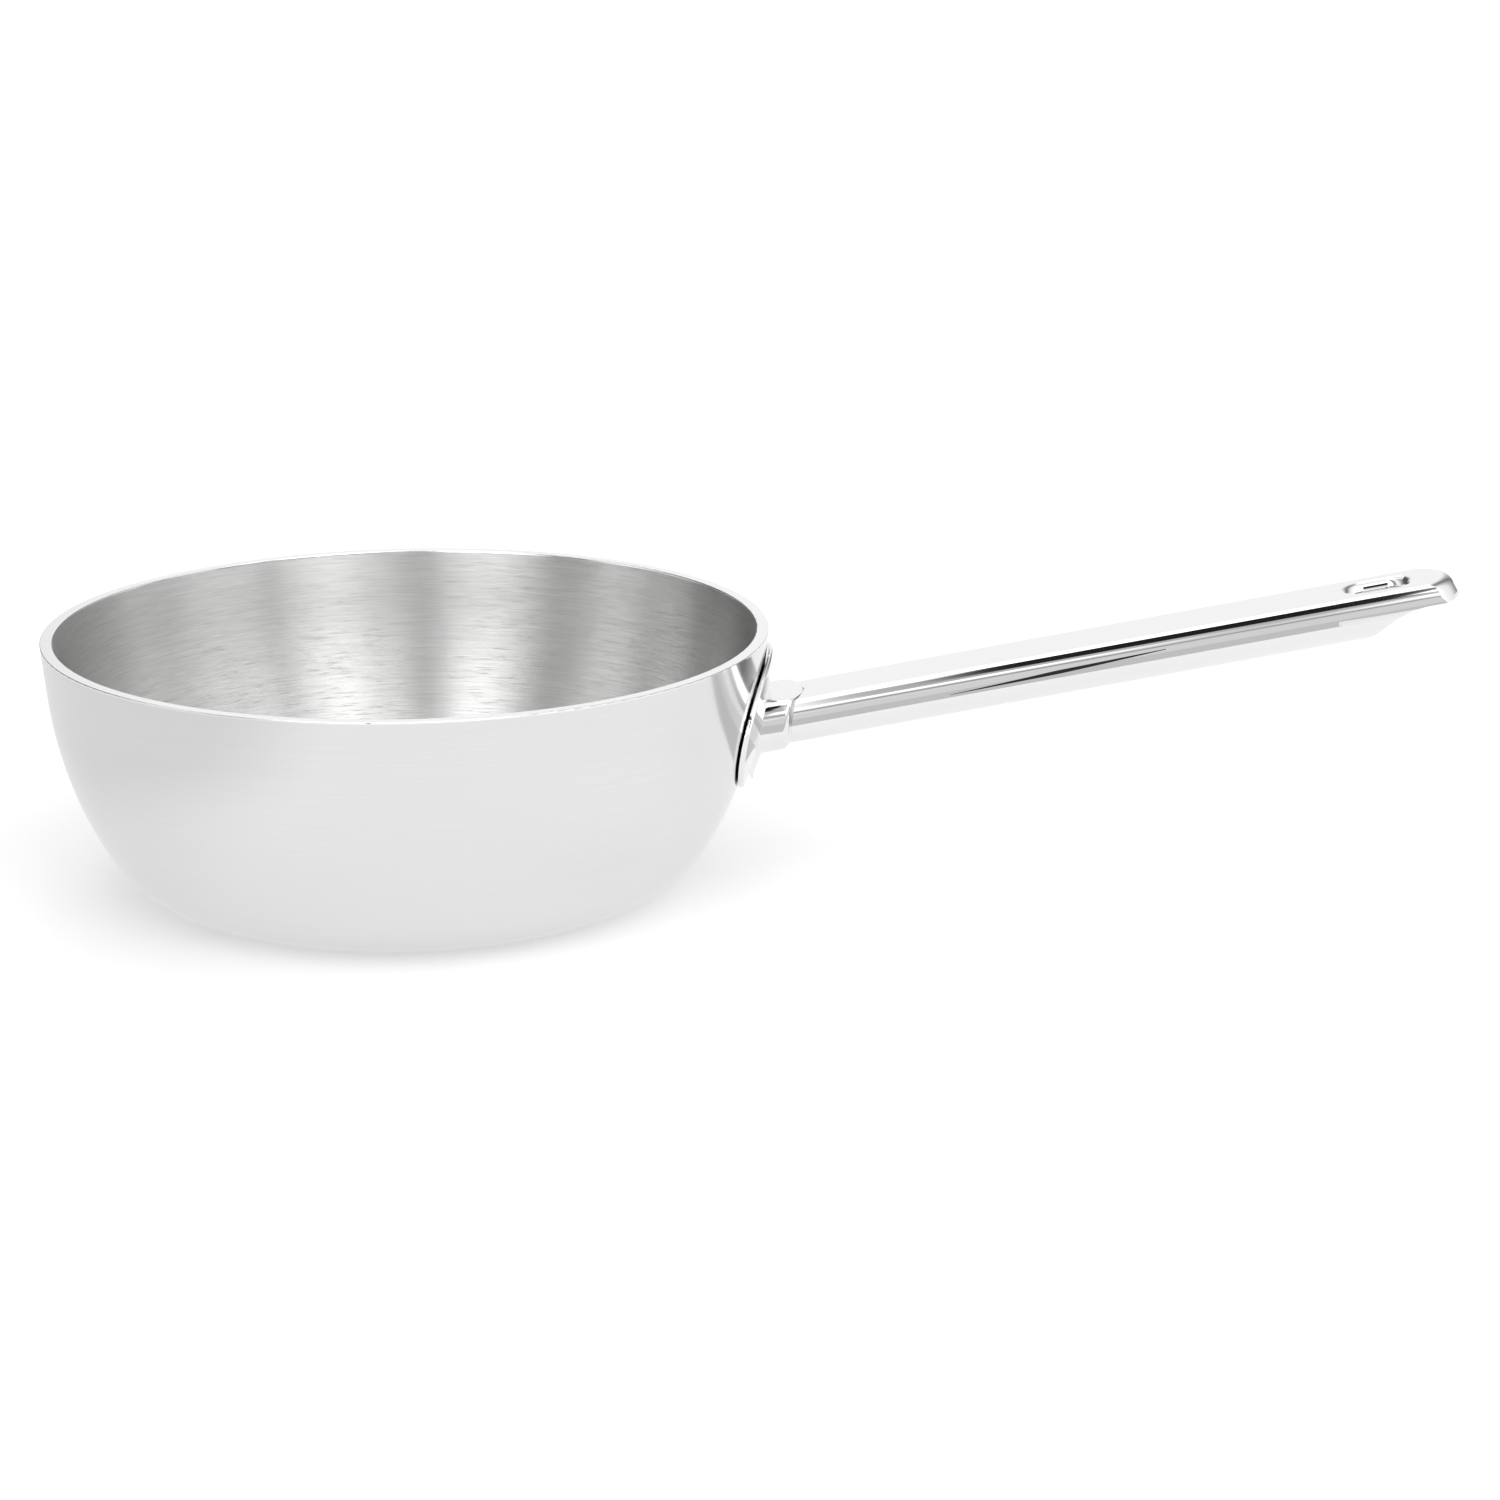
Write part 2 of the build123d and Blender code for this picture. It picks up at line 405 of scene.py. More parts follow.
def tube_section(bm, s):
    """Draws the tube's closed section across the handle, with the flat top at height zero."""
    side_x = s.width / 2 - s.side_radius
    step = s.side_radius - s.edge_radius
    edge_x = side_x + step * math.sin(s.edge_turn)
    side_z = -s.edge_radius - step * math.cos(s.edge_turn)
    side_depth = s.depth + side_z
    under = (side_x**2 + side_depth**2 - s.side_radius**2) / (2 * (side_depth - s.side_radius))
    under_turn = math.asin(side_x / (under - s.side_radius))
    last = line_to(bm, bm.verts.new((0, 0, 0)), edge_x, 0)
    last = arc_from(bm, last, (edge_x, -s.edge_radius), -s.edge_turn, TUBE_EDGE_STEPS)
    side_turn = under_turn + s.edge_turn - math.pi
    last = arc_from(bm, last, (side_x, side_z), side_turn, TUBE_SIDE_STEPS)
    arc_from(bm, last, (0, under - s.depth), -under_turn, TUBE_UNDERSIDE_STEPS)
    half = bm.verts[:] + bm.edges[:]
    bmesh.ops.mirror(bm, geom=half, matrix=Matrix.Identity(4), merge_dist=MERGE_DISTANCE, axis="X")
    bmesh.ops.remove_doubles(bm, verts=bm.verts[:], dist=MERGE_DISTANCE)


def place(piece, node, material):
    """Lets a piece stand for its node, ride on the pan and wear its finish."""
    piece.data.materials.clear()
    piece.data.materials.append(material)
    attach(piece, "root")
    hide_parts(node)


def dress(node, material):
    """Gives a CAD node that stays a better material."""
    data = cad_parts[node].data
    data.materials.clear()
    data.materials.append(material)


# Shader building


def add_node(tree, kind, **settings):
    """New node of a kind, with its properties set by name and its inputs by number."""
    node = tree.nodes.new(kind)
    for key, value in settings.items():
        if key.startswith("in_"):
            node.inputs[int(key[3:])].default_value = value
        else:
            setattr(node, key, value)
    return node


def math_node(tree, operation, first, second=None):
    """Math node whose inputs are sockets or numbers."""
    node = add_node(tree, "ShaderNodeMath", operation=operation)
    for socket, value in zip(node.inputs, (first, second)):
        if value is None:
            continue
        if isinstance(value, bpy.types.NodeSocket):
            tree.links.new(value, socket)
        else:
            socket.default_value = value
    return node.outputs[0]


def object_place(tree):
    """Object coordinates: the vector and its three parts."""
    coordinates = add_node(tree, "ShaderNodeTexCoord").outputs["Object"]
    split = add_node(tree, "ShaderNodeSeparateXYZ")
    tree.links.new(coordinates, split.inputs[0])
    return coordinates, split.outputs


def mix_level(tree, level, mask, other):
    """Number that goes from one level to another where the mask is 1."""
    mix = add_node(tree, "ShaderNodeMix", data_type="FLOAT")
    tree.links.new(mask, mix.inputs[0])
    if isinstance(level, bpy.types.NodeSocket):
        tree.links.new(level, mix.inputs[2])
    else:
        mix.inputs[2].default_value = level
    mix.inputs[3].default_value = other
    return mix.outputs[0]


def new_group(name, inputs, outputs):
    """Empty shader node group with float sockets; inputs give their default values."""
    tree = bpy.data.node_groups.new(name, "ShaderNodeTree")
    for label, value in inputs.items():
        socket = tree.interface.new_socket(name=label, in_out="INPUT", socket_type="NodeSocketFloat")
        socket.default_value = value
    for label in outputs:
        tree.interface.new_socket(name=label, in_out="OUTPUT", socket_type="NodeSocketFloat")
    return tree, add_node(tree, "NodeGroupInput"), add_node(tree, "NodeGroupOutput")


def ring_brushing_group():
    """Fine lines that run round the pan's axis, on walls and on the base alike."""
    tree, given, result = new_group(
        "Ring Brushing",
        {"Ring Scale": 900.0, "Run Scale": 14.0, "Low": 0.3, "High": 0.7},
        ("Lines", "Patches"),
    )
    links = tree.links
    coordinates, (x, y, z) = object_place(tree)
    across = math_node(tree, "MULTIPLY", x, x)
    along = math_node(tree, "MULTIPLY", y, y)
    radius = math_node(tree, "SQRT", math_node(tree, "ADD", across, along))
    path = math_node(tree, "ADD", radius, z)
    ring = math_node(tree, "MULTIPLY", path, given.outputs["Ring Scale"])
    run_x = math_node(tree, "MULTIPLY", x, given.outputs["Run Scale"])
    run_y = math_node(tree, "MULTIPLY", y, given.outputs["Run Scale"])
    stretched = add_node(tree, "ShaderNodeCombineXYZ")
    links.new(run_x, stretched.inputs[0])
    links.new(run_y, stretched.inputs[1])
    links.new(ring, stretched.inputs[2])
    noise = add_node(tree, "ShaderNodeTexNoise")
    noise.inputs["Scale"].default_value = 1.0
    noise.inputs["Detail"].default_value = 3.0
    noise.inputs["Roughness"].default_value = 0.7
    links.new(stretched.outputs[0], noise.inputs["Vector"])
    spread = add_node(tree, "ShaderNodeMapRange")
    links.new(noise.outputs["Fac"], spread.inputs["Value"])
    links.new(given.outputs["Low"], spread.inputs["From Min"])
    links.new(given.outputs["High"], spread.inputs["From Max"])
    links.new(spread.outputs["Result"], result.inputs["Lines"])
    patch = add_node(tree, "ShaderNodeTexNoise")
    patch.inputs["Scale"].default_value = 22.0
    patch.inputs["Detail"].default_value = 2.0
    links.new(coordinates, patch.inputs["Vector"])
    links.new(patch.outputs["Fac"], result.inputs["Patches"])
    return tree


def polishing_group():
    """Faint wandering marks and broad smears that polishing leaves on bright steel."""
    tree, given, result = new_group(
        "Polishing Marks",
        {"Mark Scale": 260.0, "Stretch": 0.12, "Smear Scale": 18.0},
        ("Marks", "Smears"),
    )
    links = tree.links
    coordinates, (x, y, z) = object_place(tree)
    stretched = add_node(tree, "ShaderNodeCombineXYZ")
    links.new(math_node(tree, "MULTIPLY", x, given.outputs["Stretch"]), stretched.inputs[0])
    links.new(y, stretched.inputs[1])
    links.new(z, stretched.inputs[2])
    marks = add_node(tree, "ShaderNodeTexNoise")
    marks.inputs["Detail"].default_value = 4.0
    links.new(stretched.outputs[0], marks.inputs["Vector"])
    links.new(given.outputs["Mark Scale"], marks.inputs["Scale"])
    links.new(marks.outputs["Fac"], result.inputs["Marks"])
    smears = add_node(tree, "ShaderNodeTexNoise")
    smears.inputs["Detail"].default_value = 2.0
    links.new(coordinates, smears.inputs["Vector"])
    links.new(given.outputs["Smear Scale"], smears.inputs["Scale"])
    links.new(smears.outputs["Fac"], result.inputs["Smears"])
    return tree


def use_group(tree, group, **values):
    """Places a node group in a material with its own values."""
    node = add_node(tree, "ShaderNodeGroup", node_tree=group)
    for label, value in values.items():
        node.inputs[label.replace("_", " ")].default_value = value
    return node


def steel(name, colour, roughness, anisotropy=0.0):
    """Metal material with its shader; returns the material, its node tree and the shader."""
    material = bpy.data.materials.new(name)
    material.use_nodes = True
    material.diffuse_color = (*colour, 1.0)
    tree = material.node_tree
    shader = tree.nodes["Principled BSDF"]
    shader.inputs["Base Color"].default_value = (*colour, 1.0)
    shader.inputs["Metallic"].default_value = 1.0
    shader.inputs["Roughness"].default_value = roughness
    shader.inputs["Anisotropic"].default_value = anisotropy
    shader.inputs["Anisotropic Rotation"].default_value = 0.25 if anisotropy else 0.0
    return material, tree, shader


def ring_tangent(tree, shader):
    """Lets the shader's highlight spread across the rings."""
    tangent = add_node(tree, "ShaderNodeTangent", direction_type="RADIAL", axis="Z")
    tree.links.new(tangent.outputs[0], shader.inputs["Tangent"])


def vary(tree, shader, colour, amount, factor, low, high, driver):
    """Lets one mask darken the colour a little and another drive the roughness."""
    mix = add_node(tree, "ShaderNodeMix", data_type="RGBA")
    dark = tuple(channel * (1 - amount) for channel in colour)
    mix.inputs[6].default_value = (*dark, 1.0)
    mix.inputs[7].default_value = (*colour, 1.0)
    tree.links.new(factor, mix.inputs[0])
    tree.links.new(mix.outputs[2], shader.inputs["Base Color"])
    spread = add_node(tree, "ShaderNodeMapRange", in_3=low, in_4=high)
    tree.links.new(driver, spread.inputs["Value"])
    tree.links.new(spread.outputs["Result"], shader.inputs["Roughness"])


def bump(tree, shader, height, distance, strength=1.0):
    """Raises the surface by a mask; the distance is in metres."""
    node = add_node(tree, "ShaderNodeBump")
    node.inputs["Strength"].default_value = strength
    node.inputs["Distance"].default_value = distance
    tree.links.new(height, node.inputs["Height"])
    tree.links.new(node.outputs[0], shader.inputs["Normal"])


def satin_outside():
    """Bright outside with very fine turning lines."""
    colour = tuple(bpy.context.scene.pan_finish.satin_colour)
    material, tree, shader = steel("Satin Outside", colour, 0.12, 0.3)
    ring_tangent(tree, shader)
    rings = use_group(tree, bpy.data.node_groups["Ring Brushing"], Ring_Scale=2600.0, Run_Scale=22.0)
    lines, patches = rings.outputs["Lines"], rings.outputs["Patches"]
    vary(tree, shader, colour, amount=0.03, factor=lines, low=0.10, high=0.15, driver=patches)
    bump(tree, shader, lines, distance=3e-7, strength=0.5)
    return material


def brushed_inside():
    """Cooking face brushed round and round, with short deeper scores."""
    colour = tuple(bpy.context.scene.pan_finish.inside_colour)
    material, tree, shader = steel("Brushed Inside", colour, 0.3, 0.97)
    ring_tangent(tree, shader)
    group = bpy.data.node_groups["Ring Brushing"]
    rings = use_group(tree, group, Ring_Scale=2400.0, Run_Scale=70.0, Low=0.36, High=0.64)
    scores = use_group(tree, group, Ring_Scale=2100.0, Run_Scale=120.0, Low=0.55, High=0.63)
    lines, marks = rings.outputs["Lines"], scores.outputs["Lines"]
    dullness = math_node(tree, "MULTIPLY", rings.outputs["Patches"], 0.2)
    dullness = math_node(tree, "ADD", dullness, math_node(tree, "MULTIPLY", marks, 0.6))
    vary(tree, shader, colour, amount=0.15, factor=lines, low=0.28, high=0.58, driver=dullness)
    height = math_node(tree, "ADD", lines, math_node(tree, "MULTIPLY", marks, 0.1))
    bump(tree, shader, height, distance=1e-5, strength=0.9)
    return material


def polished(name, low, high, wave):
    """Mirror-bright steel with a faint wave, given in metres."""
    colour = tuple(bpy.context.scene.pan_finish.polished_colour)
    material, tree, shader = steel(name, colour, low)
    group = use_group(tree, bpy.data.node_groups["Polishing Marks"])
    marks, smears = group.outputs["Marks"], group.outputs["Smears"]
    vary(tree, shader, colour, amount=0.02, factor=marks, low=low, high=high, driver=smears)
    bump(tree, shader, smears, distance=wave)
    return material


def weld(name, height):
    """Dull weld metal with small ripples, whose height is in metres."""
    colour = tuple(bpy.context.scene.pan_finish.weld_colour)
    material, tree, shader = steel(name, colour, 0.35)
    group = use_group(tree, bpy.data.node_groups["Polishing Marks"], Mark_Scale=900.0, Stretch=1.0)
    marks = group.outputs["Marks"]
    vary(tree, shader, colour, amount=0.3, factor=marks, low=0.3, high=0.5, driver=marks)
    bump(tree, shader, marks, distance=height)
    return material, tree, shader


def neck_weld():
    """Weld of the neck: dull on the shoulder and dressed bright below it."""
    bright = (*bpy.context.scene.pan_finish.polished_colour, 1.0)
    material, tree, shader = weld("Neck Weld", height=2e-5)
    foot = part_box("neck_weld")[0].z
    dressed = add_node(tree, "ShaderNodeMapRange", in_1=foot + 0.009, in_2=foot + 0.007)
    _, (x, y, z) = object_place(tree)
    tree.links.new(z, dressed.inputs[0])
    tone = add_node(tree, "ShaderNodeMix", data_type="RGBA", in_7=bright)
    tree.links.new(dressed.outputs[0], tone.inputs[0])
    tree.links.new(shader.inputs["Base Color"].links[0].from_socket, tone.inputs[6])
    tree.links.new(tone.outputs[2], shader.inputs["Base Color"])
    dull = shader.inputs["Roughness"].links[0].from_socket
    tree.links.new(mix_level(tree, dull, dressed.outputs[0], 0.08), shader.inputs["Roughness"])
    return material


def rolled_aluminium():
    """Aluminium sheet with fine lines along its rolling direction."""
    colour = tuple(bpy.context.scene.pan_finish.aluminium_colour)
    material, tree, shader = steel("Rolled Aluminium", colour, 0.42)
    group = use_group(tree, bpy.data.node_groups["Polishing Marks"], Mark_Scale=1200.0, Stretch=0.05)
    marks, smears = group.outputs["Marks"], group.outputs["Smears"]
    vary(tree, shader, colour, amount=0.08, factor=marks, low=0.38, high=0.5, driver=smears)
    bump(tree, shader, marks, distance=4e-6)
    return material


def finish_named(name):
    """Finish by name; the first call builds the groups and every finish."""
    if "Ring Brushing" not in bpy.data.node_groups:
        ring_brushing_group()
        polishing_group()
        satin_outside()
        brushed_inside()
        polished("Polished Rim", low=0.06, high=0.12, wave=4e-6)
        polished("Mirror Tube", low=0.03, high=0.06, wave=6e-6)
        polished("Polished Casting", low=0.03, high=0.07, wave=1e-5)
        weld("Dressed Weld", height=4e-5)
        polished("Flush Weld", low=0.03, high=0.06, wave=6e-6)
        neck_weld()
        rolled_aluminium()
    return bpy.data.materials[name]


# Pieces of the bowl


class PAN_OT_outer_skin(bpy.types.Operator):
    """Spins the satin steel skin on the outside of the bowl"""

    bl_idname = "pan.outer_skin"
    bl_label = "Outer Skin"

    def execute(self, context):
        s = context.scene.bowl_sizes
        piece = spin_skin("bowl_outer_skin", 0.0, s.outer_skin)
        place(piece, "outer_steel_layer", finish_named("Satin Outside"))
        return {"FINISHED"}


class PAN_OT_inner_skin(bpy.types.Operator):
    """Spins the brushed steel skin that faces the food"""

    bl_idname = "pan.inner_skin"
    bl_label = "Inner Skin"

    def execute(self, context):
        s = context.scene.bowl_sizes
        piece = spin_skin("bowl_inner_skin", s.wall - s.inner_skin, s.wall)
        place(piece, "inner_steel_layer", finish_named("Brushed Inside"))
        return {"FINISHED"}


class PAN_OT_rim(bpy.types.Operator):
    """Polishes the weld that closes the rim"""

    bl_idname = "pan.rim"
    bl_label = "Rim"

    def execute(self, context):
        piece = polished_copy("bowl_rim", "rim_seal")
        place(piece, "rim_seal", finish_named("Polished Rim"))
        return {"FINISHED"}


class PAN_OT_core_layers(bpy.types.Operator):
    """Gives the bonded aluminium layers inside the wall their rolled finish"""

    bl_idname = "pan.core_layers"
    bl_label = "Core Layers"

    def execute(self, context):
        for node in ("outer_alloy_layer", "aluminium_core", "inner_alloy_layer"):
            dress(node, finish_named("Rolled Aluminium"))
        return {"FINISHED"}


# Pieces of the handle


class PAN_OT_bracket(bpy.types.Operator):
    """Makes the polished cast bracket and the weld spots behind its flange"""

    bl_idname = "pan.bracket"
    bl_label = "Bracket"

    def execute(self, context):
        piece = polished_copy("bracket", "handle_bracket")
        place(piece, "handle_bracket", finish_named("Polished Casting"))
        dress("bracket_weld_spots", finish_named("Dressed Weld"))
        return {"FINISHED"}


class PAN_OT_tube(bpy.types.Operator):
    """Makes the mirror-polished handle tube and the welds at its ends"""

    bl_idname = "pan.tube"
    bl_label = "Tube"

    def execute(self, context):
        s = context.scene.handle_sizes
        bm = bmesh.new()
        tube_section(bm, s)
        start = bm.verts[:]
        far = bmesh.ops.extrude_edge_only(bm, edges=bm.edges[:])["geom"]
        for vert in far:
            if isinstance(vert, bmesh.types.BMVert):
                vert.co.y = s.end
        for vert in start:
            reach = s.crown + s.seam
            vert.co.y = s.start - s.crown + math.sqrt(reach**2 - vert.co.x**2 - vert.co.z**2)
        bmesh.ops.transform(bm, matrix=handle_matrix(s), verts=bm.verts[:])
        bmesh.ops.recalc_face_normals(bm, faces=bm.faces[:])
        bmesh.ops.solidify(bm, geom=bm.faces[:], thickness=s.wall)
        piece = even_normals(finish_mesh("tube", bm))
        place(piece, "handle_tube", finish_named("Mirror Tube"))
        seam = polished_copy("neck_seam", "neck_weld")
        place(seam, "neck_weld", finish_named("Neck Weld"))
        flush = polished_copy("end_seam", "end_weld")
        place(flush, "end_weld", finish_named("Flush Weld"))
        return {"FINISHED"}


class PAN_OT_handle_end(bpy.types.Operator):
    """Makes the polished cast end with its hanging slot"""

    bl_idname = "pan.handle_end"
    bl_label = "Handle End"

    def execute(self, context):
        piece = polished_copy("tip", "handle_end")
        place(piece, "handle_end", finish_named("Polished Casting"))
        return {"FINISHED"}


# Studio


def soft_step(tree, value, start, end):
    """Mask that goes smoothly from 0 to 1 between two values."""
    step = add_node(tree, "ShaderNodeMapRange", interpolation_type="SMOOTHSTEP", in_1=start, in_2=end)
    tree.links.new(value, step.inputs[0])
    return step.outputs[0]


def band(tree, value, low, high, soft):
    """Mask that is 1 between two values, with soft borders."""
    rise = soft_step(tree, value, low - soft, low + soft)
    fall = soft_step(tree, value, high - soft, high + soft)
    return math_node(tree, "MULTIPLY", rise, math_node(tree, "SUBTRACT", 1.0, fall))


def seen_rays(tree):
    """Masks of the rays that see a surface directly, mirrored or through glass, and of the direct ones."""
    path = add_node(tree, "ShaderNodeLightPath")
    camera = path.outputs["Is Camera Ray"]
    seen = math_node(tree, "MAXIMUM", camera, path.outputs["Is Glossy Ray"])
    return math_node(tree, "MAXIMUM", seen, path.outputs["Is Transmission Ray"]), camera


# Brightness of the tent's walls by direction in degrees: from the back, round by the left, to the back
TENT_LEVELS = (
    (-180, 1.0), (-170, 1.0), (-160, 0.50), (-150, 0.10), (-125, 0.10), (-112, 0.25), (-95, 0.60),
    (-78, 1.08), (-67, 0.96), (-57, 0.30), (-46, 0.38), (-39, 1.25), (-28, 2.15), (-19, 2.2),
    (-13, 1.85), (-1, 1.90), (3, 0.72), (7, 1.60), (17, 1.25), (24, 2.0), (34, 2.40), (41, 1.95),
    (49, 1.60), (54, 0.40), (59, 1.50), (72, 1.45), (90, 1.10), (115, 0.92), (136, 0.40),
    (148, 0.18), (158, 0.50), (169, 1.0),
)

# Degrees of height between which the tent's wall gives way to its roof, and the roof's level
ROOF_START, ROOF_END, ROOF_LEVEL = 58.0, 80.0, 0.9

# Directions near the front: lowest, highest and softness, in degrees that slant with the height
NEAR_FRONT = (-3.0, 14.0, 1.5)
SLANT = 0.29

# Gaps and flags of the room near the front: heights, slanted directions, level
ROOM_PARTS = (
    ((-30.0, 12.0, 1.0), NEAR_FRONT, 0.70),
    ((4.5, 9.0, 1.5), NEAR_FRONT, 0.34),
    ((19.0, 40.0, 1.5), (0.2, 14.5, 1.2), 0.50),
    ((26.5, 49.0, 1.0), (3.1, 14.5, 1.0), 0.015),
)

# The same for the wall over the front, which is only dimmed
HIGH_WALL = ((12.0, 50.0, 1.0), NEAR_FRONT, 0.75)


def around_the_tent(tree, turn):
    """Brightness of the tent's walls; 0 degrees is the front and positive angles lie to the right."""
    share = add_node(tree, "ShaderNodeMapRange", in_1=-180.0, in_2=180.0)
    tree.links.new(turn, share.inputs[0])
    ramp = add_node(tree, "ShaderNodeValToRGB")
    tree.links.new(share.outputs[0], ramp.inputs[0])
    stops = ramp.color_ramp.elements
    while len(stops) > 1:
        stops.remove(stops[-1])
    for number, (angle, level) in enumerate(TENT_LEVELS):
        stop = stops[0] if number == 0 else stops.new((angle + 180) / 360)
        stop.position = (angle + 180) / 360
        stop.color = (level, level, level, 1.0)
    return ramp.outputs[0]


def studio_world():
    """White tent with dark gaps in front of the pan, where the room shows."""
    world = bpy.data.worlds.new("Studio Tent")
    world.use_nodes = True
    bpy.context.scene.world = world
    tree = world.node_tree
    background = tree.nodes["Background"]
    place_at = add_node(tree, "ShaderNodeTexCoord")
    split = add_node(tree, "ShaderNodeSeparateXYZ")
    tree.links.new(place_at.outputs["Generated"], split.inputs[0])
    right, back, up = split.outputs
    deg = math.degrees(1.0)
    rise = math_node(tree, "MULTIPLY", math_node(tree, "ARCSINE", up), deg)
    front = math_node(tree, "MULTIPLY", back, -1.0)
    turn = math_node(tree, "MULTIPLY", math_node(tree, "ARCTAN2", right, front), deg)
    slant = math_node(tree, "ADD", turn, math_node(tree, "MULTIPLY", rise, SLANT))

    def part(heights, directions):
        return math_node(tree, "MULTIPLY", band(tree, slant, *directions), band(tree, rise, *heights))

    roof = soft_step(tree, rise, ROOF_START, ROOF_END)
    level = mix_level(tree, around_the_tent(tree, turn), roof, ROOF_LEVEL)
    heights, directions, dimming = HIGH_WALL
    level = math_node(tree, "MULTIPLY", level, mix_level(tree, 1.0, part(heights, directions), dimming))
    for heights, directions, dark in ROOM_PARTS:
        level = mix_level(tree, level, part(heights, directions), dark)
    _, camera = seen_rays(tree)
    tree.links.new(mix_level(tree, level, camera, 1.0), background.inputs["Strength"])
    background.inputs["Color"].default_value = (1.0, 1.0, 1.0, 1.0)


PAPER = 0.8  # how much of the light the floor gives back
PAPER_GLOW = 0.3
MIRRORED_PAPER = 0.4  # what the floor loses of it in reflections
MIRRORED_GLOW = 0.29
# Painted shade: in reflections only, the floor's colour and glow are darkened between these x positions,
# to the left of the pan
LEFT_START, LEFT_END, LEFT_PAINTED_SHADE = -0.05, -0.19, 0.18  # metres, and the share that is lost there


def floor_finish():
    """Pale paper that looks white where it is lit and keeps its shadows; seen in reflections, its colour
    and glow carry a painted shade towards the left.
    """
    material = bpy.data.materials.new("Pale Floor")
    material.use_nodes = True
    tree = material.node_tree
    shader = tree.nodes["Principled BSDF"]
    shader.inputs["Roughness"].default_value = 0.9
    shader.inputs["Specular IOR Level"].default_value = 0.0
    shader.inputs["Emission Color"].default_value = (1.0, 1.0, 1.0, 1.0)
    _, (x, y, z) = object_place(tree)
    seen, camera = seen_rays(tree)
    mirrored = math_node(tree, "SUBTRACT", seen, camera)
    # Painted shade, seen only in reflections: the floor's colour and glow grow darker towards the left
    painted_shade = math_node(tree, "MULTIPLY", mirrored, soft_step(tree, x, LEFT_START, LEFT_END))
    bright = math_node(tree, "SUBTRACT", 1.0, math_node(tree, "MULTIPLY", painted_shade, LEFT_PAINTED_SHADE))
    paper = math_node(tree, "SUBTRACT", PAPER, math_node(tree, "MULTIPLY", mirrored, MIRRORED_PAPER))
    tone = add_node(tree, "ShaderNodeCombineColor")
    for channel in tone.inputs[:3]:
        tree.links.new(math_node(tree, "MULTIPLY", bright, paper), channel)
    tree.links.new(tone.outputs[0], shader.inputs["Base Color"])
    glow = math_node(tree, "MULTIPLY", seen, PAPER_GLOW)
    glow = math_node(tree, "ADD", glow, math_node(tree, "MULTIPLY", mirrored, MIRRORED_GLOW))
    tree.links.new(math_node(tree, "MULTIPLY", glow, bright), shader.inputs["Emission Strength"])
    return material


# Narrow flags in front of the handle: start, end, width, level, share of the width that the ends keep
FLAGS = {
    "Pale Flag": ((0.100, -0.0200, 0.04760), (0.350, -0.0200, 0.09484), 0.0045, 0.70, 1.0),
    "Grey Flag": ((0.100, -0.0200, 0.04135), (0.350, -0.0200, 0.08859), 0.0082, 0.58, 1.0),
    "Dark Flag": ((0.156, -0.0198, 0.0524), (0.2165, -0.0198, 0.0703), 0.0038, 0.02, 0.15),
}


def add_flag(name, start, end, width, level, ends):
    """Upright flag beside the handle, seen only in reflections."""
    bm = bmesh.new()
    bmesh.ops.create_grid(bm, x_segments=2, y_segments=1, size=0.5)
    start, end = Vector(start), Vector(end)
    run = end - start
    bmesh.ops.scale(bm, verts=bm.verts[:], vec=(run.length, width, 1.0))
    tips = [vert for vert in bm.verts if abs(vert.co.x) > run.length / 4]
    bmesh.ops.scale(bm, verts=tips, vec=(1.0, ends, 1.0))
    upright = Matrix.Rotation(math.pi / 2, 3, "X")
    lean = Matrix.Rotation(-math.atan2(run.z, run.x), 3, "Y")
    for turn in (upright, lean):
        bmesh.ops.rotate(bm, verts=bm.verts[:], cent=(0, 0, 0), matrix=turn)
    bmesh.ops.translate(bm, verts=bm.verts[:], vec=(start + end) / 2)
    flag = finish_mesh(name, bm)
    material = bpy.data.materials.new(name)
    material.use_nodes = True
    shader = material.node_tree.nodes["Principled BSDF"]
    shader.inputs["Base Color"].default_value = (0.02, 0.02, 0.02, 1.0)
    shader.inputs["Specular IOR Level"].default_value = 0.0
    shader.inputs["Emission Color"].default_value = (1.0, 1.0, 1.0, 1.0)
    shader.inputs["Emission Strength"].default_value = level
    flag.data.materials.append(material)
    flag.visible_camera = False
    flag.visible_diffuse = False
    flag.visible_shadow = False


def add_softbox(place_at, aim, size, power):
    """Soft square lamp that looks at a point."""
    lamp = bpy.data.lights.new("Top Softbox", "AREA")
    lamp.shape = "RECTANGLE"
    lamp.size = lamp.size_y = size
    lamp.energy = power
    holder = bpy.data.objects.new("Top Softbox", lamp)
    bpy.context.scene.collection.objects.link(holder)
    holder.location = place_at
    holder.rotation_euler = (Vector(aim) - Vector(place_at)).to_track_quat("-Z", "Y").to_euler()


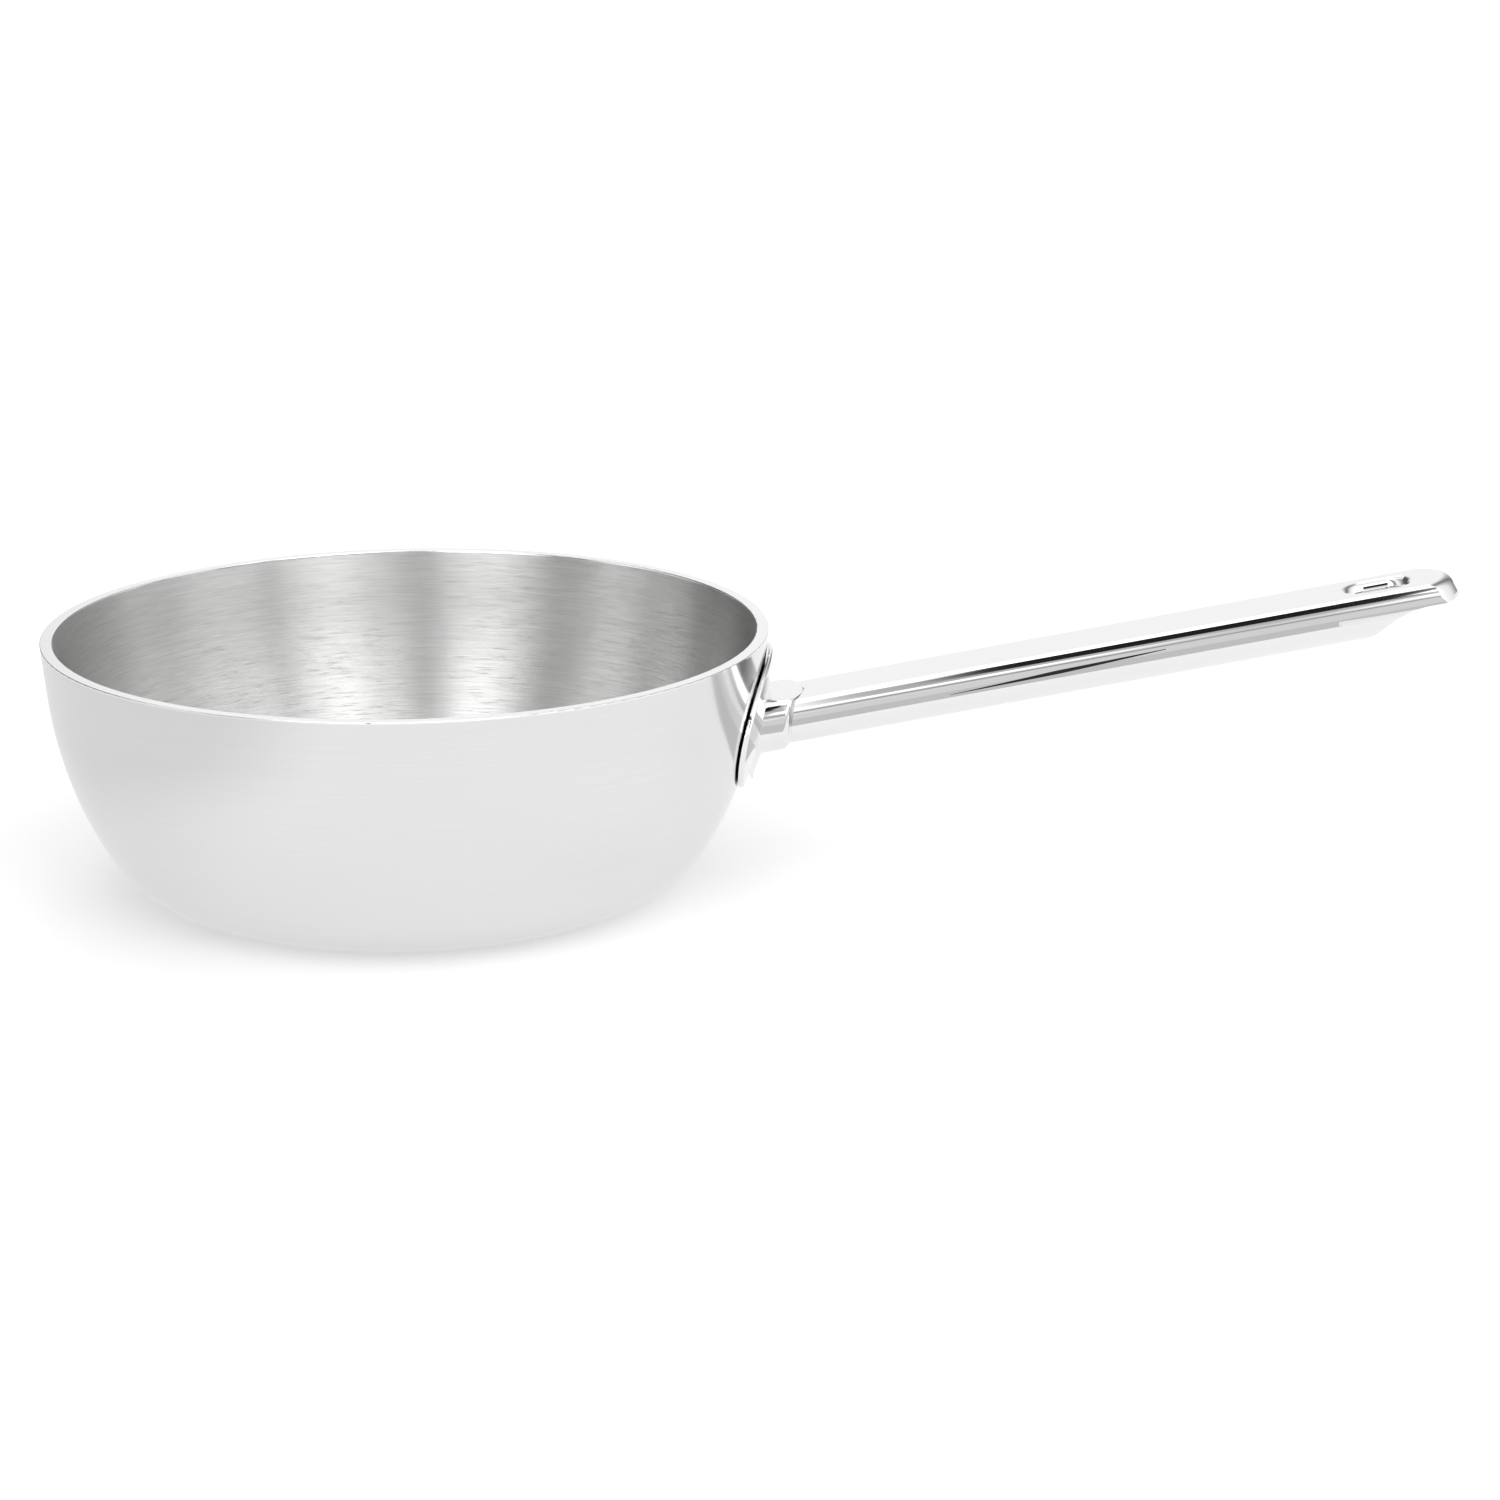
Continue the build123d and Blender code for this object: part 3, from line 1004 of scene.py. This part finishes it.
class PAN_OT_studio(bpy.types.Operator):
    """Sets up the pale floor, the white tent, the softbox, the flags and the camera"""

    bl_idname = "pan.studio"
    bl_label = "Studio"

    def execute(self, context):
        scene = context.scene
        s = scene.studio_settings
        scene.view_settings.view_transform = "Standard"
        bm = bmesh.new()
        bmesh.ops.create_grid(bm, x_segments=1, y_segments=1, size=s.floor_size / 2)
        bmesh.ops.translate(bm, verts=bm.verts[:], vec=(0, 0, cad_box[0][2] - s.floor_gap))
        floor = finish_mesh("floor", bm)
        floor.data.materials.append(floor_finish())
        studio_world()
        add_softbox(place_at=(-0.3, 0.6, 1.6), aim=(0.1, 0.0, 0.0), size=1.4, power=5.0)
        for name, flag in FLAGS.items():
            add_flag(name, *flag)
        lens = bpy.data.cameras.new("Camera")
        lens.lens = s.lens
        lens.sensor_width = 36.0
        lens.sensor_fit = "HORIZONTAL"
        camera = bpy.data.objects.new("Camera", lens)
        scene.collection.objects.link(camera)
        away = Vector((0.0, -math.cos(s.elevation), math.sin(s.elevation)))
        camera.location = Vector(s.target) + away * s.distance
        camera.rotation_euler = (-away).to_track_quat("-Z", "Y").to_euler()
        scene.camera = camera
        return {"FINISHED"}


BUILD_ORDER = (
    PAN_OT_outer_skin,
    PAN_OT_inner_skin,
    PAN_OT_rim,
    PAN_OT_core_layers,
    PAN_OT_bracket,
    PAN_OT_tube,
    PAN_OT_handle_end,
    PAN_OT_studio,
)


class PAN_PT_build(bpy.types.Panel):
    """Buttons for each piece of the pan and for its studio"""

    bl_idname = "PAN_PT_build"
    bl_label = "Saucier Pan"
    bl_space_type = "VIEW_3D"
    bl_region_type = "UI"
    bl_category = "Saucier Pan"

    def draw(self, context):
        for step in BUILD_ORDER:
            self.layout.operator(step.bl_idname)
        scene = context.scene
        for group in (scene.bowl_sizes, scene.handle_sizes, scene.pan_finish, scene.studio_settings):
            box = self.layout.box()
            for key in group.bl_rna.properties.keys():
                if key not in ("rna_type", "name"):
                    box.prop(group, key)


CLASSES = (BowlSizes, HandleSizes, PanFinish, StudioSettings, *BUILD_ORDER, PAN_PT_build)


def register():
    for item in CLASSES:
        bpy.utils.register_class(item)
    bpy.types.Scene.bowl_sizes = PointerProperty(type=BowlSizes)
    bpy.types.Scene.handle_sizes = PointerProperty(type=HandleSizes)
    bpy.types.Scene.pan_finish = PointerProperty(type=PanFinish)
    bpy.types.Scene.studio_settings = PointerProperty(type=StudioSettings)


def unregister():
    del bpy.types.Scene.studio_settings
    del bpy.types.Scene.pan_finish
    del bpy.types.Scene.handle_sizes
    del bpy.types.Scene.bowl_sizes
    for item in reversed(CLASSES):
        bpy.utils.unregister_class(item)


def main():
    register()
    bpy.ops.pan.outer_skin()
    bpy.ops.pan.inner_skin()
    bpy.ops.pan.rim()
    bpy.ops.pan.core_layers()
    bpy.ops.pan.bracket()
    bpy.ops.pan.tube()
    bpy.ops.pan.handle_end()
    bpy.ops.pan.studio()


if __name__ == "__main__":
    main()
